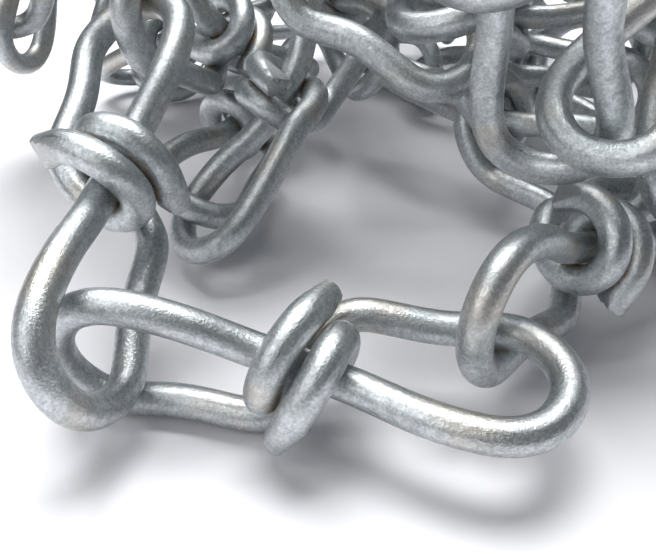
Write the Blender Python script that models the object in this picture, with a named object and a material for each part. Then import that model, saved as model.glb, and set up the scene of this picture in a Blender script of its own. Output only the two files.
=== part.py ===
"""Heap of knotted-link steel chain, lying on a level floor.

Every link is one length of round wire. Its middle strand runs through the knot from one loop to the
other, and each loop's free leg comes back to the knot, passes behind the middle strand and is hooked
round it, so the two wraps lie side by side across the front and end in a cut tip. The planes of the
two loops are twisted about the link's length. The chain is one running length: a few links lie clear
of the mound at the front, and both ways from them it leads back into the mound.

A link's own frame: +X along the link, from the loop it was hooked in by to the loop that holds the
next one, +Z the side on which the wraps show. A half turn about +Z brings a link back onto itself.
"""

import math
import random

import bpy
import numpy as np
from mathutils import Matrix, Vector
from mathutils.kdtree import KDTree

# Driving dimensions, in metres and degrees
WIRE_D = 0.0042
LINK_LENGTH = 0.0624
LOOP_WIDTH = 0.0196
LOOP_TWIST = 89.0
CONTACT_GAP = 0.0003

# The knot, whose wraps follow the wire's own thickness: values in wire diameters and degrees
STRAND_RISE = 0.35
STRAND_SLOPE = 0.30
KNOT_HALF = 1.9
WRAP = [
    # along the link, angle about the middle strand from +Y towards the back, distance from it
    (1.57, 37, 2.49),
    (0.69, 46, 2.12),
    (0.01, 63, 1.65),
    (-0.59, 91, 1.21),
    (-0.92, 133, 1.08),
    (-0.99, 176, 1.10),
    (-0.88, 220, 1.10),
    (-0.60, 266, 1.13),
    (-0.30, 298, 1.24),
    (0.00, 325, 1.44),
    (0.28, 349, 1.72),
    (0.46, 368, 2.05),
]

# The rest of a half link. The strand runs straight to this many diameters from the middle, and where
# it leaves the knot it keeps this share of its own line and swings this many diameters into the loop
STRAND_STRAIGHT = 0.9
LEAVING_SHARE = 0.45
LEAVING_ACROSS = 0.8

# Points of a loop: along its leg as a share of the way from the knot to the round end, across as a
# share of its half width, and degrees round the end
LEG_OUT = [(0.38, 0.74), (0.74, 0.94)]
ROUND_END = (80, 45, 0, -45, -80)
LEG_BACK = [(0.74, -0.98), (0.32, -1.0)]

# The run of chain
LINKS_BEFORE = 9
LINKS_AFTER = 46
HEAP_CENTRE = (0.012, 0.096)
HEAP_RADIUS = 0.056
HEAP_SEED = 3

# Facets: points along a wire in front and in the mound, Blender's bevel steps for six sides, and how
# much wider a knot is laid with these many points, so that its straight pieces clear each other
FRONT_POINTS = 48
HEAP_POINTS = 26
BEVEL_STEPS = 1
KNOT_EASE = {FRONT_POINTS: 1.0, HEAP_POINTS: 1.13}

# The link that lies in front: its heading, climb and roll. Its middle is over the origin while the
# chain is laid, and it rests on the floor
LEAD_TURN = (-6.6, 1.0, 51.9)

# Links next to it, outwards: heading, climb, roll, and how far round each of the two bends it hangs
LEFT_RUN = [
    (90.4, 30.7, 21.6, -2.94, -2.36),
    (69.7, -25.9, 43.6, 0.50, 0.08),
    (258.0, -5.0, 16.0, 0.4, 2.1),
    (60.0, 20.0, 42.0, 0.0, 0.0),
]
RIGHT_RUN = [
    (49.3, -5.5, 44.0, -2.62, -2.73),
    (140.0, 12.0, 90.0, 0.1, 0.4),
    (110.0, 15.0, 45.0, 0.0, 0.0),
]

# How widely poses near a wished one are tried, in degrees and metres, how much more widely if none of
# them will do, and what a step off it costs
WISH_DRAWS = 24000
WISH_SPREAD = (22.0, 16.0, 70.0, 1.6 * WIRE_D, 1.6 * WIRE_D)
WISH_WIDER = (1.0, 1.5, 2.2)
WISH_WEIGHTS = (1.0, 1.0, 0.3, 6.0 / WIRE_D, 6.0 / WIRE_D)

# Poses tried for a link of the mound: degrees either way from the way it is led, climbs, rolls, and
# how far round a bend it hangs
HEADING_STEPS = range(-168, 169, 24)
CLIMB_STEPS = range(-72, 73, 8)
ROLL_STEPS = range(0, 360, 40)
HANGS = (-1.7 * WIRE_D, 0.0, 1.7 * WIRE_D)

# What counts against such a pose: its far end's height, how far out of the mound that end is, and how
# far the link swings from the way it is led, for each 60 degrees
END_HEIGHT_COST = 0.7
OUTSIDE_COST = 2.5
SWING_COST = 0.5 * WIRE_D
SWING_UNIT = 60.0

# How many poses are tried exactly for a link
MOST_TRIES = 1200

# Poses looked at for a next link, to leave room for it, how many must be free, and how many are measured
NEXT_HEADINGS = range(0, 360, 40)
NEXT_CLIMBS = range(-60, 61, 20)
NEXT_ROLLS = range(0, 360, 60)
NEXT_CHOICES = 12
NEXT_MEASURED = 60

# How a link of the mound is let down: the first and last turn tried, in degrees, and the least drop
# worth turning for
SINK_STEP = 8.0
SINK_LAST_STEP = 0.8
SINK_LEAST = 0.00005

# How a wire is measured against others: spacing of its points, and the grid of cells that know about
# how near a wire is, which covers the room round the mound
FINE_SPACING = 0.25 * WIRE_D
COARSE_SPACING = 0.5 * WIRE_D
CELL = 0.3 * WIRE_D
CELL_REACH = 1.6 * WIRE_D
ROOM = (0.32, 0.36, 0.13)
ROOM_FRONT = 0.19
ROOM_BELOW_FLOOR = 0.01
FAR_OFF = 9.0

# How much nearer than clear a wire may seem by such rough measures, before the exact one
CELL_ALLOWANCE = 0.16 * WIRE_D
POINT_ALLOWANCE = 0.12 * WIRE_D

# How far a laid wire may be from clear or from the floor, as rounding, and how far a seat may be off
GAP_SLACK = 6e-6
FLOOR_SLACK = 1e-6
SEAT_SLACK = 0.3 * WIRE_D
SEAT_PASSES = 3

# How squarely two bends must grip, from 1 for wires that cross at right angles, apex to apex. A slack
# link of the front run may hang by any side of its loops, so there the linking test alone decides
FRONT_GRIP = -1.0
MOUND_GRIP = 0.35

# Where the mound is led: turn from one spot to the next in degrees, least share of its radius squared,
# and how much it draws in towards the end
SPOT_TURNS = (60, 150)
SPOT_LEAST = 0.05
SPOT_DRAWN_IN = 0.45

# How a route is drawn: points on the fine line it is read from, and the weight of length against bend
FINE_POINTS = 2400
LENGTH_WEIGHT = 0.09

# A loop as a closed ring for the linking test: points round it, its share of the way to the middle, and
# how many turns count as linked, which come out near one or near none
RING_POINTS = 41
RING_SHARE = 0.75
TURNS_LINKED = 0.5

# Keeps a division by a length off nothing
TINY = 1e-9

ZINC = (0.58, 0.60, 0.61)
ZINC_ROUGHNESS = 0.35


def spline(points):
    """A natural cubic spline through points, as a function of one parameter, and its end value."""
    points = np.asarray(points, float)
    steps = np.sqrt(np.linalg.norm(np.diff(points, axis=0), axis=1))
    knots = np.concatenate([[0.0], np.cumsum(steps)])
    count = len(points)
    system = np.eye(count)
    right = np.zeros((count, 3))
    for i in range(1, count - 1):
        system[i, i - 1 : i + 2] = steps[i - 1], 2 * (steps[i - 1] + steps[i]), steps[i]
        right[i] = 6 * (points[i + 1] - points[i]) / steps[i] - 6 * (points[i] - points[i - 1]) / steps[i - 1]
    bend = np.linalg.solve(system, right)

    def at(t):
        i = np.clip(np.searchsorted(knots, t, side="right") - 1, 0, count - 2)
        h = steps[i][:, None]
        a = (knots[i + 1] - t)[:, None]
        b = (t - knots[i])[:, None]
        curve = (bend[i] * a**3 + bend[i + 1] * b**3) / (6 * h)
        line = (points[i] / h - bend[i] * h / 6) * a + (points[i + 1] / h - bend[i + 1] * h / 6) * b
        return curve + line

    return at, knots[-1]


def loop_half_width():
    return (LOOP_WIDTH - WIRE_D) / 2


def bend_centre():
    """Distance from the link's middle to the centre of a loop's round end."""
    return (LINK_LENGTH - WIRE_D) / 2 - loop_half_width()


def loop_side():
    """Across the loop at +X, towards the middle strand's leg."""
    half = math.radians(LOOP_TWIST / 2)
    return np.array([0.0, -math.cos(half), math.sin(half)])


def half_route(ease):
    """The wire's route from the link's middle to its cut tip, its knot widened by a factor."""
    width = loop_half_width()
    centre = bend_centre()
    side = loop_side()
    knot_end = KNOT_HALF * WIRE_D

    def in_loop(x, across):
        return np.array([x, 0.0, 0.0]) + across * side

    def on_leg(share, across):
        return in_loop(knot_end + share * (centre - knot_end), across * width)

    def strand(x):
        return np.array([x, -STRAND_SLOPE * x, STRAND_RISE * WIRE_D])

    def round_strand(x, angle, distance):
        turn = math.radians(angle)
        out = np.array([0.0, math.cos(turn), -math.sin(turn)])
        return strand(x * ease * WIRE_D) + distance * ease * WIRE_D * out

    points = [strand(0.0), strand(STRAND_STRAIGHT * WIRE_D)]
    swung = in_loop(knot_end, LEAVING_ACROSS * WIRE_D)
    points.append(LEAVING_SHARE * strand(knot_end) + (1 - LEAVING_SHARE) * swung)
    points += [on_leg(*row) for row in LEG_OUT]
    for angle in ROUND_END:
        turn = math.radians(angle)
        points.append(in_loop(centre + width * math.cos(turn), width * math.sin(turn)))
    points += [on_leg(*row) for row in LEG_BACK]
    return points + [round_strand(*row) for row in WRAP]


def link_route(count):
    """Points along a whole link's wire, closer together where it bends."""
    half = np.array(half_route(KNOT_EASE[count]))
    other = half[:0:-1] * [-1, -1, 1]
    at, end = spline(np.vstack([other, half]))
    fine = at(np.linspace(0, end, FINE_POINTS))
    step = np.linalg.norm(np.diff(fine, axis=0), axis=1)
    heading = np.diff(fine, axis=0) / step[:, None]
    turn = np.linalg.norm(np.diff(heading, axis=0, prepend=heading[:1]), axis=1)
    weight = LENGTH_WEIGHT * step / WIRE_D + turn
    measure = np.concatenate([[0.0], np.cumsum(weight)])
    spots = np.linspace(0, measure[-1], count)
    return np.stack([np.interp(spots, measure, fine[:, axis]) for axis in range(3)], axis=1)


def samples(points, spacing):
    """Evenly spaced points along the straight pieces of a route."""
    length = np.concatenate([[0.0], np.cumsum(np.linalg.norm(np.diff(points, axis=0), axis=1))])
    spots = np.linspace(0, length[-1], int(length[-1] / spacing) + 2)
    return np.stack([np.interp(spots, length, points[:, axis]) for axis in range(3)], axis=1)


def turned(heading, climb, roll):
    """Rotation matrices for arrays of heading, climb and roll in degrees."""
    h, c, r = (np.radians(np.asarray(angle, float)) for angle in (heading, climb, roll))
    one, zero = np.ones_like(h), np.zeros_like(h)

    def matrix(*entries):
        return np.stack(entries, axis=-1).reshape(h.shape + (3, 3))

    about_z = matrix(np.cos(h), -np.sin(h), zero, np.sin(h), np.cos(h), zero, zero, zero, one)
    about_y = matrix(np.cos(c), zero, -np.sin(c), zero, one, zero, np.sin(c), zero, np.cos(c))
    about_x = matrix(one, zero, zero, zero, np.cos(r), -np.sin(r), zero, np.sin(r), np.cos(r))
    return about_z @ about_y @ about_x


def loop_spot(slide, end):
    """Point, direction and inward side on a loop's wire, slide round from its apex; end +1 or -1."""
    width = loop_half_width()
    side = loop_side() * [1, end, 1]
    out = np.array([end, 0.0, 0.0])
    slide = np.asarray(slide, float)[..., None]
    angle = np.clip(slide / width, -math.pi / 2, math.pi / 2)
    past = np.abs(slide) - width * math.pi / 2
    straight = np.clip(past, 0.0, None)
    outward = np.cos(angle) * out + np.sin(angle) * side
    point = bend_centre() * out + width * outward - straight * out
    along = np.cos(angle) * side - np.sin(angle) * out
    return point, along, -outward


def in_frame(rotation, vectors):
    return np.einsum("...ij,...j->...i", rotation, vectors)


def hooked(previous, rotation, slide_held, slide_own):
    """Where links with these rotations lie when hooked in the previous link.

    Also the way from wire to wire where they meet, and how squarely the two bends grip, at most 1.
    """
    point, along, inward = loop_spot(slide_held, 1)
    point = in_frame(previous["rotation"], point) + previous["place"]
    along = in_frame(previous["rotation"], along)
    inward = in_frame(previous["rotation"], inward)
    own_point, own_along, own_inward = (in_frame(rotation, v) for v in loop_spot(slide_own, -1))
    normal = np.cross(along, own_along)
    size = np.linalg.norm(normal, axis=-1, keepdims=True)
    normal = normal / np.maximum(size, TINY)
    normal = normal * np.sign(np.sum(normal * inward, axis=-1, keepdims=True))
    held = np.sum(normal * inward, axis=-1)
    holds = -np.sum(normal * own_inward, axis=-1)
    grip = np.minimum(np.minimum(held, holds), size[..., 0])
    place = point + (WIRE_D + CONTACT_GAP) * normal - own_point
    return place, normal, grip


def loop_ring(link, end):
    """A closed ring of points through the middle of a link's loop: end +1 or -1."""
    width = loop_half_width()
    slides = np.linspace(-1, 1, RING_POINTS) * (width * math.pi / 2 + bend_centre() * RING_SHARE)
    points = loop_spot(slides, end)[0]
    ring = samples(np.vstack([points, points[:1]]), FINE_SPACING)
    return ring @ link["rotation"].T + link["place"]


def through(one, other):
    """Whether two closed rings of points run through each other, by their linking integral."""
    step_one = np.roll(one, -1, axis=0) - one
    step_other = np.roll(other, -1, axis=0) - other
    apart = (one + step_one / 2)[:, None] - (other + step_other / 2)
    turns = np.cross(step_one[:, None], step_other[None])
    parts = np.einsum("ijk,ijk->ij", apart, turns) / np.linalg.norm(apart, axis=2) ** 3
    return abs(parts.sum() / (4 * math.pi)) > TURNS_LINKED


class Chain:
    """The links laid so far, and how near a new one may come to them."""

    def __init__(self):
        self.route = {count: link_route(count) for count in (FRONT_POINTS, HEAP_POINTS)}
        self.fine = {count: samples(route, FINE_SPACING) for count, route in self.route.items()}
        self.coarse = {count: samples(route, COARSE_SPACING) for count, route in self.route.items()}
        self.clear = WIRE_D + CONTACT_GAP
        self.links = []
        self.tree = KDTree(0)
        self.corner = np.array([
            HEAP_CENTRE[0] - ROOM[0] / 2,
            HEAP_CENTRE[1] - ROOM_FRONT,
            -ROOM_BELOW_FLOOR,
        ])
        self.field = np.full(np.ceil(np.array(ROOM) / CELL).astype(int), FAR_OFF, np.float32)
        self.next_turns = np.array([
            (heading, climb, roll, held, own)
            for heading in NEXT_HEADINGS
            for climb in NEXT_CLIMBS
            for roll in NEXT_ROLLS
            for held in HANGS
            for own in HANGS
        ])
        self.next_rotation = turned(*self.next_turns[:, :3].T)

    def grow_tree(self):
        """A tree of all the laid wires' points, which finds the nearest quickly."""
        laid = np.vstack([link["points"] for link in self.links])
        self.tree = KDTree(len(laid))
        for index, point in enumerate(laid):
            self.tree.insert(point, index)
        self.tree.balance()

    def add(self, link):
        points = self.fine[link["count"]] @ link["rotation"].T + link["place"]
        link["points"] = points
        self.links.append(link)
        self.grow_tree()
        reach = int(CELL_REACH / CELL) + 1
        steps = np.arange(-reach, reach + 1)
        offsets = np.stack(np.meshgrid(steps, steps, steps, indexing="ij"), axis=-1).reshape(-1, 3)
        cells = np.floor((points - self.corner) / CELL).astype(int)[:, None] + offsets
        distance = np.linalg.norm(self.corner + (cells + 0.5) * CELL - points[:, None], axis=2)
        inside = np.all((cells >= 0) & (cells < self.field.shape), axis=2)
        cells = tuple(cells[inside].T)
        link["cells"] = cells
        link["cells_before"] = self.field[cells]
        np.minimum.at(self.field, cells, distance[inside].astype(np.float32))

    def take_up(self):
        """Takes the last laid link away again."""
        link = self.links.pop()
        self.field[link["cells"]] = link["cells_before"]
        self.grow_tree()

    def roughly_clear(self, rotation, place, count):
        """Which poses keep off the floor and, as far as the coarse field tells, off the laid links."""
        points = np.einsum("kij,nj->kni", rotation, self.coarse[count]) + place[:, None]
        above = points[:, :, 2].min(axis=1) > WIRE_D / 2 - FLOOR_SLACK
        cells = np.floor((points - self.corner) / CELL).astype(int)
        inside = np.all((cells >= 0) & (cells < self.field.shape), axis=2).all(axis=1)
        cells = np.clip(cells, 0, np.array(self.field.shape) - 1)
        nearest = self.field[cells[..., 0], cells[..., 1], cells[..., 2]].min(axis=1)
        return above & inside & (nearest > self.clear - CELL_ALLOWANCE)

    def clears(self, rotation, place, count):
        """Whether a link here keeps off the floor and off every laid wire."""
        points = self.fine[count] @ rotation.T + place
        if points[:, 2].min() < WIRE_D / 2 - FLOOR_SLACK:
            return False
        least = self.clear - GAP_SLACK
        return all(self.tree.find(point)[2] > least for point in points)

    def seat(self, previous, turn, slides, count):
        """A link's pose at this turn with its loop drawn up to the previous one, or None."""
        rotation = turned(*turn)
        place, normal, _ = hooked(previous, rotation, *slides)
        points = self.fine[count] @ rotation.T
        for _ in range(SEAT_PASSES):
            gaps = previous["points"][:, None] - points - place
            least = math.sqrt(np.einsum("ijk,ijk->ij", gaps, gaps).min())
            place = place + (self.clear - least) * normal
        if abs(least - self.clear) > SEAT_SLACK:
            return None
        own = {"rotation": rotation, "place": place}
        return (rotation, place) if through(loop_ring(previous, 1), loop_ring(own, -1)) else None

    def attach(self, previous, cost, rows, count, least_grip, leave_room=True, passed_over=0):
        """The cheapest of some poses that hooks in the previous link and clears everything.

        It also leaves room for a next link, unless told that it needn't. Of the poses that do, the
        cheapest few may be passed over. None if there is no such pose.
        """
        rotation = turned(rows[:, 0], rows[:, 1], rows[:, 2])
        place, _, grip = hooked(previous, rotation, rows[:, 3], rows[:, 4])
        fits = grip > least_grip
        rows, rotation, place = rows[fits], rotation[fits], place[fits]
        good = self.roughly_clear(rotation, place, count)
        rows, rotation, place = rows[good], rotation[good], place[good]
        order = np.argsort(cost(rows, rotation, place), kind="stable")[:MOST_TRIES]
        for row in rows[order]:
            seated = self.seat(previous, tuple(row[:3]), tuple(row[3:]), count)
            if not seated or not self.clears(*seated, count):
                continue
            if not leave_room or self.leaves_room(*seated):
                if passed_over == 0:
                    return previous, row, seated
                passed_over -= 1
        return None

    def leaves_room(self, rotation, place):
        """Whether a next link could be hooked in the free loop of a link that lies here."""
        link = {"rotation": rotation, "place": place}
        next_place, _, grip = hooked(link, self.next_rotation, *self.next_turns[:, 3:].T)
        fits = grip > MOUND_GRIP
        next_rotation, next_place = self.next_rotation[fits], next_place[fits]
        good = np.flatnonzero(self.roughly_clear(next_rotation, next_place, HEAP_POINTS))
        if len(good) < NEXT_CHOICES:
            return False
        coarse = self.coarse[HEAP_POINTS]
        own = coarse @ rotation.T + place
        some = good[:: max(1, len(good) // NEXT_MEASURED)]
        points = np.einsum("kij,nj->kni", next_rotation[some], coarse) + next_place[some][:, None]
        gaps = points[:, :, None] - own
        nearest = np.sqrt(np.einsum("kijl,kijl->kij", gaps, gaps).min(axis=(1, 2)))
        free = (nearest > self.clear - POINT_ALLOWANCE).mean() * len(good)
        return free >= NEXT_CHOICES

    def lay(self, found, count, sinks):
        """Adds a link that was found, let down first as far as it goes where it sinks."""
        previous, row, seated = found
        turn = np.array(row[:3])
        ways = np.array([(0, -1, 0), (0, 0, 1), (0, 0, -1), (1, 0, 0), (-1, 0, 0)], float)
        step = SINK_STEP if sinks else 0.0
        while step > SINK_LAST_STEP:
            for way in ways:
                lower = self.seat(previous, tuple(turn + step * way), tuple(row[3:]), count)
                if not lower or lower[1][2] > seated[1][2] - SINK_LEAST:
                    continue
                if self.clears(*lower, count) and self.leaves_room(*lower):
                    seated = lower
                    turn = turn + step * way
                    break
            else:
                step /= 2
        rotation, place = seated
        link = {"rotation": rotation, "place": place, "count": count}
        self.add(link)
        return link


def front_link(chain, previous, wish, scatter, leave_room):
    """A link of the front run, as near to its wished pose as the links before it allow."""
    wished = np.array(wish) * [1, 1, 1, WIRE_D, WIRE_D]
    weights = np.array(WISH_WEIGHTS)

    def cost(rows, rotation, place):
        return (np.abs(rows - wished) * weights).sum(axis=1)

    for wider in WISH_WIDER:
        rows = wished + wider * scatter
        found = chain.attach(previous, cost, rows, FRONT_POINTS, FRONT_GRIP, leave_room)
        if found:
            break
    return chain.lay(found, FRONT_POINTS, False)


def heap_pose(chain, previous, spot, passed_over):
    """A pose for a link of the mound: it leads towards a spot and lies as low as it can."""
    apex = previous["place"] + previous["rotation"][:, 0] * LINK_LENGTH / 2
    wanted = math.degrees(math.atan2(spot[1] - apex[1], spot[0] - apex[0]))
    rows = np.array([
        (wanted + swing, climb, roll, held, own)
        for swing in HEADING_STEPS
        for climb in CLIMB_STEPS
        for roll in ROLL_STEPS
        for held in HANGS
        for own in HANGS
    ])

    def cost(rows, rotation, place):
        end = place + rotation[:, :, 0] * (LINK_LENGTH - WIRE_D) / 2
        radius = np.hypot(end[:, 0] - HEAP_CENTRE[0], end[:, 1] - HEAP_CENTRE[1])
        outside = np.clip(radius - HEAP_RADIUS, 0, None)
        swing = np.abs(rows[:, 0] - wanted) / SWING_UNIT
        return place[:, 2] + END_HEIGHT_COST * end[:, 2] + OUTSIDE_COST * outside + SWING_COST * swing

    return chain.attach(previous, cost, rows, HEAP_POINTS, MOUND_GRIP, passed_over=passed_over)


def heap_links(chain, previous, spots):
    """Links of the mound, one led to each spot. Where the chain is stuck, it takes up its last link
    and lays that one in its next best way."""
    laid = []
    passed_over = [0] * len(spots)
    while len(laid) < len(spots):
        number = len(laid)
        held_by = laid[-1] if laid else previous
        found = heap_pose(chain, held_by, spots[number], passed_over[number])
        if found:
            laid.append(chain.lay(found, HEAP_POINTS, True))
        else:
            passed_over[number] = 0
            laid.pop()
            chain.take_up()
            passed_over[number - 1] += 1
    return laid


def heap_spots(draw, count):
    """Where the chain is led as it is poured: a seeded wander over the mound."""
    spots = []
    angle = draw.uniform(0, 360)
    for i in range(count):
        angle += draw.uniform(*SPOT_TURNS)
        radius = HEAP_RADIUS * math.sqrt(draw.uniform(SPOT_LEAST, 1.0)) * (1.0 - SPOT_DRAWN_IN * i / count)
        spots.append((
            HEAP_CENTRE[0] + radius * math.cos(math.radians(angle)),
            HEAP_CENTRE[1] + radius * math.sin(math.radians(angle)),
        ))
    return spots


def lay_chain():
    """All links in running order."""
    chain = Chain()
    lead = {"rotation": turned(*LEAD_TURN), "place": np.zeros(3), "count": FRONT_POINTS}
    lowest = (chain.fine[FRONT_POINTS] @ lead["rotation"].T)[:, 2].min()
    lead["place"][2] = WIRE_D / 2 - lowest
    chain.add(lead)
    back_to_front = np.diag([-1.0, -1.0, 1.0])
    lead_left = dict(lead, rotation=lead["rotation"] @ back_to_front)
    left, right = [], []
    # Poses scattered round a wished one, most of them close to it, with the wished one first
    draws = np.random.default_rng(HEAP_SEED)
    scatter = draws.uniform(0, 1, (WISH_DRAWS, 1)) ** 2 * draws.normal(size=(WISH_DRAWS, 5)) * WISH_SPREAD
    scatter[0] = 0
    for run, links, last in ((RIGHT_RUN, right, lead), (LEFT_RUN, left, lead_left)):
        for number, wish in enumerate(run, start=1):
            # The next wished pose makes its own room, so only the run's last link has to leave some
            last = front_link(chain, last, wish, scatter, number == len(run))
            links.append(last)
    draw = random.Random(HEAP_SEED)
    left += heap_links(chain, left[-1], heap_spots(draw, LINKS_BEFORE - len(left)))
    right += heap_links(chain, right[-1], heap_spots(draw, LINKS_AFTER - len(right)))
    return left[::-1] + [lead] + right


def zinc():
    material = bpy.data.materials.new("zinc_plated_wire")
    material.use_nodes = True
    shader = material.node_tree.nodes["Principled BSDF"]
    shader.inputs["Base Color"].default_value = ZINC + (1.0,)
    shader.inputs["Metallic"].default_value = 1.0
    shader.inputs["Roughness"].default_value = ZINC_ROUGHNESS
    return material


def wire_curve(name, route, material):
    """A round wire with filled cut ends along a route."""
    curve = bpy.data.curves.new(name, "CURVE")
    curve.dimensions = "3D"
    curve.bevel_depth = WIRE_D / 2
    curve.bevel_resolution = BEVEL_STEPS
    curve.use_fill_caps = True
    curve.materials.append(material)
    wire = curve.splines.new("POLY")
    wire.points.add(len(route) - 1)
    for point, place in zip(wire.points, route):
        point.co = (*place, 1.0)
    wire.use_smooth = True
    return curve


def corners(pieces):
    """The lowest and highest corner of some objects as they are built."""
    graph = bpy.context.evaluated_depsgraph_get()
    found = []
    for piece in pieces:
        built = piece.evaluated_get(graph)
        mesh = built.to_mesh()
        flat = np.empty(len(mesh.vertices) * 3, np.float32)
        mesh.vertices.foreach_get("co", flat)
        world = np.array(built.matrix_world)
        found.append(flat.reshape(-1, 3) @ world[:3, :3].T + world[:3, 3])
        built.to_mesh_clear()
    found = np.vstack(found)
    return found.min(axis=0), found.max(axis=0)


def build():
    for old in list(bpy.data.objects):
        bpy.data.objects.remove(old, do_unlink=True)
    collection = bpy.data.collections.new("steel_chain_heap")
    bpy.context.scene.collection.children.link(collection)
    links = lay_chain()
    material = zinc()
    shapes = {}
    for count in KNOT_EASE:
        shapes[count] = wire_curve(f"link_wire_{count}", link_route(count), material)
    pieces = []
    for number, link in enumerate(links, start=1):
        piece = bpy.data.objects.new(f"link_{number:02d}", shapes[link["count"]])
        turn = Matrix(link["rotation"].tolist()).to_4x4()
        piece.matrix_world = Matrix.Translation(link["place"].tolist()) @ turn
        collection.objects.link(piece)
        pieces.append(piece)
    # The origin is on the floor, under the middle of the whole length as it lies
    bpy.context.view_layer.update()
    low, high = corners(pieces)
    for piece in pieces:
        piece.location -= Vector(((low[0] + high[0]) / 2, (low[1] + high[1]) / 2, low[2]))


build()
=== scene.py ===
# %% [markdown]
# # A heap of knotted-link steel chain
#
# Every link of this chain is one length of zinc-plated wire, bent into two loops and tied round its own
# middle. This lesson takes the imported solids, in which each link is a plain six-sided tube, finds out how
# each one lies, and puts a really round wire with pinched ends and a worn zinc finish in its place.

# %% Load the frame and keep its size
import math

import bpy
import numpy as np
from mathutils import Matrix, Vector
from mathutils.kdtree import KDTree


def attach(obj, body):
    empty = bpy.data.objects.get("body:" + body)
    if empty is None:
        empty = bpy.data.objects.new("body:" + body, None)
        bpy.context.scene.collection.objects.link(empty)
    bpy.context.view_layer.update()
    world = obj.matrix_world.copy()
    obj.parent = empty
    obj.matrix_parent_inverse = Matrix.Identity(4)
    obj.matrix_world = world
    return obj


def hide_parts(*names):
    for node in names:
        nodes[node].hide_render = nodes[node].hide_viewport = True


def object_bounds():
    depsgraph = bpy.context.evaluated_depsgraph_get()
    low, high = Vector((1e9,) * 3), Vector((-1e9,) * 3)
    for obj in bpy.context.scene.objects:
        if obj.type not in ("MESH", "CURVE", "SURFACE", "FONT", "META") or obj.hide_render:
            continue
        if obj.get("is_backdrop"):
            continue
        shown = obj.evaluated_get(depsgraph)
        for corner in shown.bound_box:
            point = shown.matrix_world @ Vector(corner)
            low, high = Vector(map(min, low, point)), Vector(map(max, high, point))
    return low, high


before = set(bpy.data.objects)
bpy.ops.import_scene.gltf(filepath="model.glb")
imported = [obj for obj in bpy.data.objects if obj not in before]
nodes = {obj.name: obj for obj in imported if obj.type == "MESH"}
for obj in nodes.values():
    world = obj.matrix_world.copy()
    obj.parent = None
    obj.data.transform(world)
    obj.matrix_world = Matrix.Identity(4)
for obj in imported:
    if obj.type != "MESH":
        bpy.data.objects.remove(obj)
cad_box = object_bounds()
print("nodes:", len(nodes), "box of the solids:", cad_box)

# %% [markdown]
# ## Reading a wire's route from its solid
#
# A solid link is a tube of six-sided rings, so the middle of each ring is a point on the wire's centre
# line. The cut ends are the only places where two faces meet at nearly a right angle. From the six
# corners of one cut end the tube can be walked ring by ring, because the neighbours of a ring that
# haven't been visited are always the next ring. The route could instead be repeated here as numbers,
# but then it would stop fitting as soon as a size in the solids changed.

# %% Walk along a solid, ring by ring
TUBE_SIDES = 6
RIM_TURN = math.radians(75)
WELD_DECIMALS = 6


def welded(node):
    """The node's corners and triangles, with corners that lie on each other made one."""
    mesh = node.data
    mesh.calc_loop_triangles()
    points = np.empty(len(mesh.vertices) * 3, np.float32)
    mesh.vertices.foreach_get("co", points)
    corners = np.empty(len(mesh.loop_triangles) * 3, np.int32)
    mesh.loop_triangles.foreach_get("vertices", corners)
    keys, first, joined = np.unique(
        np.round(points.reshape(-1, 3), WELD_DECIMALS),
        axis=0,
        return_index=True,
        return_inverse=True,
    )
    return points.reshape(-1, 3)[first].astype(float), joined.reshape(-1)[corners].reshape(-1, 3)


def centre_line(node):
    """The middle of each ring of a six-sided tube, from one cut end to the other."""
    points, faces = welded(node)
    a, b, c = points[faces[:, 0]], points[faces[:, 1]], points[faces[:, 2]]
    normals = np.cross(b - a, c - a)
    normals /= np.linalg.norm(normals, axis=1, keepdims=True)
    beside = {}
    neighbours = {}
    for face, corners in enumerate(faces):
        for one, other in zip(corners, np.roll(corners, -1)):
            beside.setdefault((min(one, other), max(one, other)), []).append(face)
            neighbours.setdefault(one, set()).add(other)
            neighbours.setdefault(other, set()).add(one)
    rim = {}
    for (one, other), (face, next_face) in beside.items():
        if np.dot(normals[face], normals[next_face]) < math.cos(RIM_TURN):
            rim.setdefault(one, set()).add(other)
            rim.setdefault(other, set()).add(one)
    ring = {min(rim)}
    while len(ring) < TUBE_SIDES:
        ring |= set().union(*(rim[corner] for corner in ring))
    seen = set(ring)
    middles = []
    while ring:
        middles.append(points[sorted(ring)].mean(axis=0))
        ring = set().union(*(neighbours[corner] for corner in ring)) - seen
        seen |= ring
    return np.array(middles), np.linalg.norm(points[min(rim)] - middles[0])


links = sorted(nodes)
routes = {}
for name in links:
    routes[name], radius = centre_line(nodes[name])
WIRE_D = 2 * radius
print("wire diameter:", round(WIRE_D * 1000, 3), "mm, rings:", {len(r) for r in routes.values()})

# %% [markdown]
# ## A smooth line through the rings
#
# Bent wire has no corners, so its line is a natural cubic spline through the middles of the rings, which
# bends as little as it can between them. Blender's own curve object could carry it too, but it can't
# give a pinched end, and a mesh made here can keep for every corner how far along the wire it is.

# %% Draw the spline and spread points evenly along it
POINTS_PER_RING = 40


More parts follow.
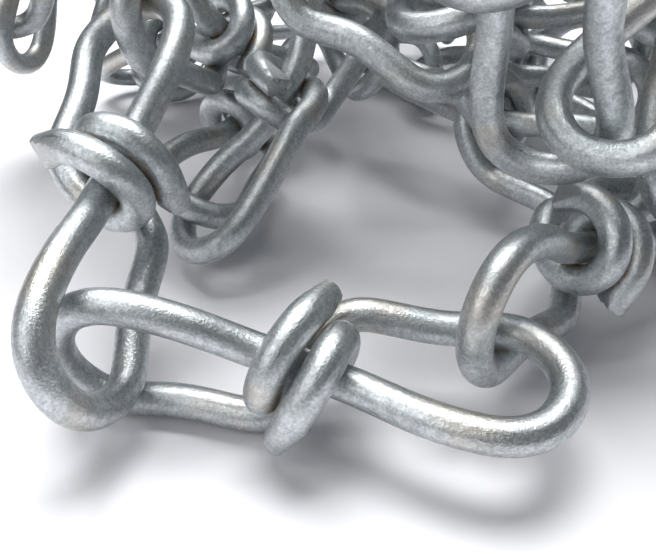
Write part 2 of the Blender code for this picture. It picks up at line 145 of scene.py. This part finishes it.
def smooth_line(points):
    """Closely spaced points on a natural cubic spline through some points."""
    steps = np.sqrt(np.linalg.norm(np.diff(points, axis=0), axis=1))
    knots = np.concatenate([[0.0], np.cumsum(steps)])
    count = len(points)
    system = np.eye(count)
    right = np.zeros((count, 3))
    for i in range(1, count - 1):
        system[i, i - 1 : i + 2] = steps[i - 1], 2 * (steps[i - 1] + steps[i]), steps[i]
        rise = (points[i + 1] - points[i]) / steps[i] - (points[i] - points[i - 1]) / steps[i - 1]
        right[i] = 6 * rise
    bend = np.linalg.solve(system, right)
    spots = np.linspace(0, knots[-1], count * POINTS_PER_RING)
    i = np.clip(np.searchsorted(knots, spots, side="right") - 1, 0, count - 2)
    h = steps[i][:, None]
    a = (knots[i + 1] - spots)[:, None]
    b = (spots - knots[i])[:, None]
    line = (points[i] / h - bend[i] * h / 6) * a + (points[i + 1] / h - bend[i + 1] * h / 6) * b
    return line + (bend[i] * a**3 + bend[i + 1] * b**3) / (6 * h)


def distances(line):
    """How far along a line each of its points is."""
    return np.concatenate([[0.0], np.cumsum(np.linalg.norm(np.diff(line, axis=0), axis=1))])


def at_distances(line, spots):
    """Points at some distances along a line."""
    length = distances(line)
    return np.stack([np.interp(spots, length, line[:, axis]) for axis in range(3)], axis=1)


lines = {name: smooth_line(routes[name]) for name in links}
lengths = {name: distances(line)[-1] for name, line in lines.items()}
print("length of wire in a link:", round(min(lengths.values()) * 1000), "to",
      round(max(lengths.values()) * 1000), "mm")

# %% [markdown]
# ## Where wires lie close together
#
# Where wires touch, in the knots and where one link hangs in the next, a plated chain is duller and shows
# its first rust, and the finish darkens it there as painted shade. Every corner of the new wires therefore
# keeps how near the next wire is. A tree of points
# along all the wires answers that quickly. Ambient occlusion in the shader would show something like it,
# but the exported model couldn't carry that so cleanly.

# %% A tree of points along all the wires
# How far round a wire others are looked for, how much of the wire itself beside a ring isn't counted,
# the gap at which closeness ends, and the spacing of the tree's points
NEAR = 1.7 * WIRE_D
OWN_REACH = 2.4 * WIRE_D
FADE = 0.45 * WIRE_D
TREE_STEP = WIRE_D / 6

marks = []
for number, name in enumerate(links):
    spots = np.arange(0, lengths[name], TREE_STEP)
    for spot, point in zip(spots, at_distances(lines[name], spots)):
        marks.append((number, spot, point))
near_tree = KDTree(len(marks))
for index, (number, spot, point) in enumerate(marks):
    near_tree.insert(point, index)
near_tree.balance()


def closeness(number, spot, centre, ring):
    """For the corners of one ring: 1 where the next wire touches, 0 where it is well off."""
    others = [
        marks[index][2]
        for _, index, _ in near_tree.find_range(centre, NEAR)
        if marks[index][0] != number or abs(marks[index][1] - spot) > OWN_REACH
    ]
    if not others:
        return np.zeros(len(ring))
    gap = np.linalg.norm(ring[:, None] - np.array(others), axis=2).min(axis=1) - WIRE_D / 2
    return np.clip(1 - gap / FADE, 0, 1)


print("points in the tree:", len(marks))

# %% [markdown]
# ## The wire with its pinched ends
#
# A maker cuts the wire with a pair of blades that pinch it: one long flat, one shorter flat opposite,
# and a thin torn edge between them that stands out a little to each side. The tube is made ring by ring.
# Near each end the corners that lie outside the two flats are pulled in to them, and what the blades
# squeeze out widens the edge. Cutting with a Boolean would give the flats as well, but not the squeeze.

# %% Rings, pinched ends and corners
# A wire with a finely drawn route in the solids is one of the near ones
SIDES = {"near": 28, "far": 16}
RING_STEP = {"near": WIRE_D / 6.5, "far": WIRE_D / 3.4}
END_RINGS = {"near": 26, "far": 10}
END_CROWDING = 1.3
# Lengths of the cut end and its two flats, the height of the edge between them, half its thickness,
# how much the squeeze widens it, and which way the long flat faces
END_LENGTH = 1.25 * WIRE_D
LONG_FLAT = 1.15 * WIRE_D
SHORT_FLAT = 0.45 * WIRE_D
END_AT = -0.03 * WIRE_D
END_HALF = 0.33 * WIRE_D
SQUEEZE = 0.07
FLAT_FACES = math.radians(122)
# How far the torn face stands out, its share of the edge's size, and its roughness
TORN_OUT = 0.07 * WIRE_D
TORN_SHARE = 0.55
TORN_ROUGH = 0.035 * WIRE_D
HEADING_STEP = WIRE_D / 40


def ring_spots(length, sort):
    """Distances of the rings along a wire: closer at the cut ends, with a torn face just past each."""
    ends = END_LENGTH * np.linspace(0, 1, END_RINGS[sort] + 1) ** END_CROWDING
    between = length - 2 * END_LENGTH
    middle = END_LENGTH + between * np.linspace(0, 1, int(between / RING_STEP[sort]) + 2)
    return np.concatenate([[-TORN_OUT], ends, middle[1:-1], (length - ends)[::-1], [length + TORN_OUT]])


def carried_frames(line, spots):
    """Points, directions and two crosswise directions that don't spin about the wire."""
    on_line = np.clip(spots, 0, distances(line)[-1])
    ahead = at_distances(line, on_line + HEADING_STEP)
    behind = at_distances(line, on_line - HEADING_STEP)
    along = (ahead - behind) / np.linalg.norm(ahead - behind, axis=1, keepdims=True)
    across = np.empty_like(along)
    side = np.roll(along[0], 1) * [1, 1, -1]
    for i, heading in enumerate(along):
        side = side - heading * (side @ heading)
        side /= np.linalg.norm(side)
        across[i] = side
    past = (spots - on_line)[:, None]
    return at_distances(line, on_line) + past * along, along, across, np.cross(along, across)


def flat_direction(line, end):
    """Which way the long flat of a cut end faces: turned about the wire from the link's middle."""
    inner = line[POINTS_PER_RING] if end == 0 else line[-POINTS_PER_RING]
    tip = line[end]
    outwards = (tip - inner) / np.linalg.norm(tip - inner)
    inwards = line.mean(axis=0) - tip
    inwards -= outwards * (inwards @ outwards)
    inwards /= np.linalg.norm(inwards)
    return inwards * math.cos(FLAT_FACES) + np.cross(outwards, inwards) * math.sin(FLAT_FACES)


def pinched(flat, wide, from_end):
    """Crosswise places on a round wire, moved to where the blades leave them."""
    share = np.clip(1 - from_end / LONG_FLAT, 0, 1)
    other = np.clip(1 - from_end / SHORT_FLAT, 0, 1)
    top = WIRE_D / 2 + share * (END_AT + END_HALF - WIRE_D / 2)
    bottom = -WIRE_D / 2 + other * (END_AT - END_HALF + WIRE_D / 2)
    cut = (flat > top) | (flat < bottom) | (from_end <= 0)
    flat, wide = np.clip(flat, bottom, top), wide * (1 + SQUEEZE * share**3)
    if from_end < 0:
        flat, wide = END_AT + (flat - END_AT) * TORN_SHARE, wide * TORN_SHARE
    return flat, wide, cut


def wire_rings(name, number, sort):
    """Corners of a link's wire, ring by ring, with what the finish needs to know about each."""
    line, length = lines[name], lengths[name]
    spots = ring_spots(length, sort)
    centres, along, across, upright = carried_frames(line, spots)
    faces_at = []
    for end in (0, -1):
        towards = flat_direction(line, end)
        faces_at.append(math.atan2(towards @ upright[end], towards @ across[end]))
    twist = math.remainder(faces_at[1] - faces_at[0], math.tau)
    share = np.clip((spots - END_LENGTH) / (length - 2 * END_LENGTH), 0, 1)
    starts = faces_at[0] + twist * share
    angles = np.arange(SIDES[sort]) / SIDES[sort] * math.tau
    tearing = np.random.default_rng(number)
    # The wires' own places start a metre apart, so that no two wires have the same marks
    found = {"place": [], "wire_space": [], "cut": [], "close": []}
    for spot, start, centre, heading, side, up in zip(spots, starts, centres, along, across, upright):
        flat, wide, cut = pinched(
            WIRE_D / 2 * np.cos(angles), WIRE_D / 2 * np.sin(angles), min(spot, length - spot)
        )
        a = flat * math.cos(start) - wide * math.sin(start)
        b = flat * math.sin(start) + wide * math.cos(start)
        ring = centre + a[:, None] * side + b[:, None] * up
        if min(spot, length - spot) <= 0:
            ring += tearing.uniform(-TORN_ROUGH, TORN_ROUGH, (len(ring), 1)) * heading
        found["place"].append(ring)
        found["wire_space"].append(np.stack([np.full(len(a), spot + number), a, b], axis=1))
        found["cut"].append(cut.astype(float))
        found["close"].append(closeness(number, spot, centre, ring))
    return {key: np.array(rows) for key, rows in found.items()}


print("rings on a near wire:", len(ring_spots(max(lengths.values()), "near")))

# %% [markdown]
# ## From rings to a Blender mesh
#
# Four-sided faces join each ring to the next, and one face closes each end. The attributes ride along on
# the corners: wire_space is the place on the wire as if it were pulled straight, which lets the drawing
# marks run along it round every bend. Shading is smooth, apart from edges that turn sharply at the cuts.

# %% Make one mesh for each link
SHARP = math.radians(32)


def wire_object(name, number, sort):
    """A link's wire as a mesh object, standing for its solid."""
    rings = wire_rings(name, number, sort)
    count, sides = rings["place"].shape[:2]
    corner = np.arange(count * sides).reshape(count, sides)
    here, there = corner[:-1], corner[1:]
    quads = np.stack([here, np.roll(here, -1, axis=1), np.roll(there, -1, axis=1), there], axis=2)
    faces = quads.reshape(-1, 4).tolist() + [corner[0][::-1].tolist(), corner[-1].tolist()]
    mesh = bpy.data.meshes.new("wire_" + name)
    mesh.from_pydata(rings["place"].reshape(-1, 3).tolist(), [], faces)
    mesh.shade_smooth()
    mesh.set_sharp_from_angle(angle=SHARP)
    straight = mesh.attributes.new("wire_space", "FLOAT_VECTOR", "POINT")
    straight.data.foreach_set("vector", rings["wire_space"].astype(np.float32).ravel())
    for key in ("cut", "close"):
        value = mesh.attributes.new(key, "FLOAT", "POINT")
        value.data.foreach_set("value", rings[key].astype(np.float32).ravel())
    wire = bpy.data.objects.new("wire_" + name, mesh)
    bpy.context.scene.collection.objects.link(wire)
    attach(wire, "root")
    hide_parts(name)
    return wire


most_rings = max(len(route) for route in routes.values())
wires = []
for number, name in enumerate(links):
    sort = "near" if len(routes[name]) == most_rings else "far"
    wires.append(wire_object(name, number, sort))
print("wires:", len(wires), "faces:", sum(len(wire.data.polygons) for wire in wires))

# %% [markdown]
# ## Shader maths as plain expressions
#
# A finish is arithmetic on patterns. One small class wraps a socket, so that an expression such as
# 1 - mask adds the Math node that works it out. Most other nodes come from one method, which sets the
# node's own settings first and then its sockets.

# %% A class that turns expressions into nodes
class Field:
    """A value that varies over a surface: the output socket of a shader node."""

    def __init__(self, finish, socket):
        self.finish = finish
        self.socket = socket

    def maths(self, operation, *others):
        """A Math node on this value and others."""
        values = {i + 1: other for i, other in enumerate(others)}
        return self.finish.node("ShaderNodeMath", {"operation": operation}, {0: self, **values})

    def __add__(self, other):
        return self.maths("ADD", other)

    def __sub__(self, other):
        return self.maths("SUBTRACT", other)

    def __mul__(self, other):
        return self.maths("MULTIPLY", other)

    def __rsub__(self, other):
        return (self * -1) + other

    __radd__ = __add__
    __rmul__ = __mul__

    def between(self, low, high):
        """0 below low, 1 above high and smooth in between."""
        return self.finish.node(
            "ShaderNodeMapRange",
            {"interpolation_type": "SMOOTHSTEP"},
            {"Value": self, "From Min": low, "From Max": high},
        )


class Finish:
    """A material whose nodes are added by a few short methods."""

    def __init__(self, name):
        self.material = bpy.data.materials.new(name)
        self.material.use_nodes = True
        self.tree = self.material.node_tree
        self.shader = self.tree.nodes["Principled BSDF"]

    def node(self, kind, settings=None, values=None, output=0):
        """A node with its settings and sockets set, as the Field of one of its outputs."""
        made = self.tree.nodes.new(kind)
        for key, value in (settings or {}).items():
            setattr(made, key, value)
        for key, value in (values or {}).items():
            self.feed(made.inputs[key], value)
        return Field(self, made.outputs[output])

    def feed(self, socket, value):
        """Links a Field to a socket, or sets a plain value on it."""
        if isinstance(value, Field):
            self.tree.links.new(value.socket, socket)
        else:
            socket.default_value = value

    def surface(self, **sockets):
        """Feeds the shader's own sockets, named with underscores for spaces."""
        for key, value in sockets.items():
            self.feed(self.shader.inputs[key.replace("_", " ")], value)

    def attribute(self, name, output="Fac"):
        """What the mesh keeps for each corner under a name."""
        return self.node("ShaderNodeAttribute", {"attribute_name": name}, output=output)

    def stretched(self, vector, scale):
        """Places scaled differently along each axis, which stretches a pattern."""
        return self.node("ShaderNodeVectorMath", {"operation": "MULTIPLY"}, {0: vector, 1: scale})

    def noise(self, vector, size, detail=2.0, roughness=0.5, distortion=0.0):
        """Soft noise with features of about one size, in metres."""
        sockets = {"Vector": vector, "Scale": 1 / size, "Detail": detail,
                   "Roughness": roughness, "Distortion": distortion}
        return self.node("ShaderNodeTexNoise", None, sockets)

    def blend(self, share, under, over):
        """One colour laid over another by a share."""
        mix = self.tree.nodes.new("ShaderNodeMix")
        mix.data_type = "RGBA"
        self.feed(mix.inputs["Factor"], share)
        self.feed(next(s for s in mix.inputs if s.identifier == "A_Color"), under)
        self.feed(next(s for s in mix.inputs if s.identifier == "B_Color"), over)
        return Field(self, next(s for s in mix.outputs if s.identifier == "Result_Color"))


print("shader helpers ready")

# %% [markdown]
# ## The zinc finish
#
# The plating is bright grey and a little blue. It is mottled in patches of about a millimetre, covered in
# fine grain and drawn with faint lines along the wire. It is warmer in places, as zinc goes when it is
# passivated, and these warm patches also paint in warm reflections. Where wires touch it is duller and
# painted shade darkens it, and there the first brown specks of rust show.
# The cut ends are a plain grey, without the drawn shine. One material does it all, as it is one finish.

# %% Mix the zinc finish
MM = 0.001
PALE_ZINC = (0.66, 0.695, 0.71, 1)
GREY_ZINC = (0.34, 0.365, 0.375, 1)
# Warm tan: a passivation tint that also stands for painted warm reflections
WARM_ZINC_AND_REFLECTION = (0.60, 0.50, 0.38, 1)
# The near-black grey of the painted shade where wires touch
PAINTED_SHADE_ZINC = (0.16, 0.17, 0.17, 1)
CUT_STEEL = (0.42, 0.43, 0.44, 1)
RUST = (0.36, 0.19, 0.04, 1)
BUMP_STRENGTH = 0.8
BUMP_DEPTH = 0.055 * MM

zinc = Finish("zinc_plated_wire")
place = zinc.node("ShaderNodeTexCoord", output="Object")
straight = zinc.attribute("wire_space", "Vector")
close = zinc.attribute("close")
cut = zinc.attribute("cut")

# Patterns of the plating, from blotches down to grain
patch = zinc.noise(place, 6 * MM).between(0.35, 0.7)
# Warm patches: partly the passivation tint of the zinc, partly painted warm reflection
passivation_and_painted_reflection = zinc.noise(place, 9 * MM, detail=1.0).between(0.52, 0.74)
mottle = zinc.noise(place, 0.9 * MM, detail=4.0, roughness=0.65, distortion=0.3).between(0.34, 0.68)
frost = zinc.noise(place, 0.32 * MM, roughness=0.6).between(0.38, 0.66)
grain = zinc.noise(place, 0.2 * MM, detail=3.0, roughness=0.75)

# Marks that run along the wire, and nicks across it
along = zinc.stretched(straight, (0.06, 1, 1))
far_along = zinc.stretched(straight, (0.02, 1, 1))
drawn = zinc.noise(along, 0.22 * MM, roughness=0.6)
rubbed = zinc.noise(far_along, 0.5 * MM, detail=1.0).between(0.56, 0.66)
nick = zinc.noise(zinc.stretched(straight, (1, 0.5, 0.5)), 0.6 * MM).between(0.66, 0.8)

# Where wires touch: painted shade darkens the colour, and the surface is duller and rust-specked
painted_shade_and_dull = close.between(0.45, 1.0)
speck = zinc.noise(place, 0.7 * MM, detail=3.0, roughness=0.7).between(0.50, 0.60)
rusty = speck * close.between(0.5, 0.8)

colour = zinc.blend(mottle * 0.4 + frost * 0.4 + patch * 0.2, GREY_ZINC, PALE_ZINC)
# Painted warm reflection, together with the passivation tint
colour = zinc.blend(passivation_and_painted_reflection * 0.35, colour, WARM_ZINC_AND_REFLECTION)
# Painted shade: the colour darkens towards near-black where wires lie close together
colour = zinc.blend(painted_shade_and_dull * 0.55, colour, PAINTED_SHADE_ZINC)
colour = zinc.blend(nick * 0.5, colour, PALE_ZINC)
colour = zinc.blend(cut * 0.8, colour, CUT_STEEL)
colour = zinc.blend(rusty * 0.9, colour, RUST)
height = grain * 0.5 + frost * 0.3 + drawn * 0.3 + mottle * 0.25 + nick * -0.3 + cut * grain * 0.8
relief = {"Height": height, "Strength": BUMP_STRENGTH, "Distance": BUMP_DEPTH}
bump = zinc.node("ShaderNodeBump", None, relief)
zinc.surface(
    Base_Color=colour,
    Metallic=0.96 - rusty * 0.7 - painted_shade_and_dull * 0.25,
    Roughness=mottle * -0.10 + grain * 0.2 + rubbed * -0.08 + painted_shade_and_dull * 0.2 + rusty * 0.3 + 0.36,
    Normal=bump,
)
for wire in wires:
    wire.data.materials.append(zinc.material)
print("nodes in the zinc finish:", len(zinc.tree.nodes))

# %% [markdown]
# ## Floor, light and camera
#
# The chain lies on a plain white table in a bright room. A wide soft light above and behind it draws the
# long highlights on the tops of the wires and pushes the shadows towards the camera. A weaker one from
# the left in front and a pale world fill the rest. The camera's place was worked out from the front link:
# it is given in wire diameters from that link's middle, so that it follows the chain's own size.

# %% Floor
FLOOR_WIDTH = 8.0
FLOOR_WHITE = (0.80, 0.795, 0.825, 1)
FLOOR_ROUGHNESS = 0.6

low, high = (np.array(corner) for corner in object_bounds())
bpy.ops.mesh.primitive_plane_add(size=FLOOR_WIDTH, location=(0, 0, low[2]))
floor = bpy.context.object
floor.name = "floor"
paper = Finish("white_table")
paper.surface(Base_Color=FLOOR_WHITE, Roughness=FLOOR_ROUGHNESS)
floor.data.materials.append(paper.material)
floor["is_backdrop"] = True
print("floor at", round(low[2] * 1000, 2), "mm")

# %% Light
# Each light's place and size are in metres and its power in watts
KEY_LIGHT = {"place": (-0.06, 0.28, 0.96), "size": 0.7, "power": 18.5}
FILL_LIGHT = {"place": (-0.50, -0.45, 0.55), "size": 0.7, "power": 3.0}
ROOM_COLOUR = (0.80, 0.88, 0.96, 1)
ROOM_STRENGTH = 0.13


def softbox(name, target, place, size, power):
    """A square soft light that faces a point."""
    light = bpy.data.lights.new(name, "AREA")
    light.size = size
    light.energy = power
    lamp = bpy.data.objects.new(name, light)
    lamp.location = place
    lamp.rotation_euler = (Vector(target) - Vector(place)).to_track_quat("-Z", "Y").to_euler()
    bpy.context.scene.collection.objects.link(lamp)


middle = (low + high) / 2
softbox("key", middle, **KEY_LIGHT)
softbox("fill", middle, **FILL_LIGHT)

world = bpy.data.worlds.new("room")
world.use_nodes = True
background = world.node_tree.nodes["Background"]
background.inputs["Color"].default_value = ROOM_COLOUR
background.inputs["Strength"].default_value = ROOM_STRENGTH
bpy.context.scene.world = world
bpy.context.scene.view_settings.view_transform = "Standard"

# %% Camera
FRONT_LINK = "link_10"
CAMERA_FROM_LINK = (0.657, -14.22, 14.94)
CAMERA_TILT = 33.8
PHOTO_WIDTH = 656
FOCAL_PIXELS = 700
SENSOR_WIDTH = 36.0
CLIP_START = 0.001

front_middle = routes[FRONT_LINK].mean(axis=0)
camera_data = bpy.data.cameras.new("camera")
camera_data.sensor_width = SENSOR_WIDTH
camera_data.lens = SENSOR_WIDTH * FOCAL_PIXELS / PHOTO_WIDTH
camera_data.clip_start = CLIP_START
camera = bpy.data.objects.new("camera", camera_data)
camera.location = front_middle + np.array(CAMERA_FROM_LINK) * WIRE_D
camera.location.z = low[2] + CAMERA_FROM_LINK[2] * WIRE_D
camera.rotation_euler = (math.radians(90 - CAMERA_TILT), 0, 0)
bpy.context.scene.collection.objects.link(camera)
bpy.context.scene.camera = camera
print("camera at", [round(v, 4) for v in camera.location])

# %% [markdown]
# ## Sizes
#
# The dressed chain should keep the size of the solids, and both sizes are printed.

# %% Print the sizes
dressed_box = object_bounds()
sizes = {"cad": [list(corner) for corner in cad_box], "dressed": [list(corner) for corner in dressed_box]}
for key, (corner, opposite) in sizes.items():
    print(key, "size in mm:", [round((b - a) * 1000, 1) for a, b in zip(corner, opposite)])
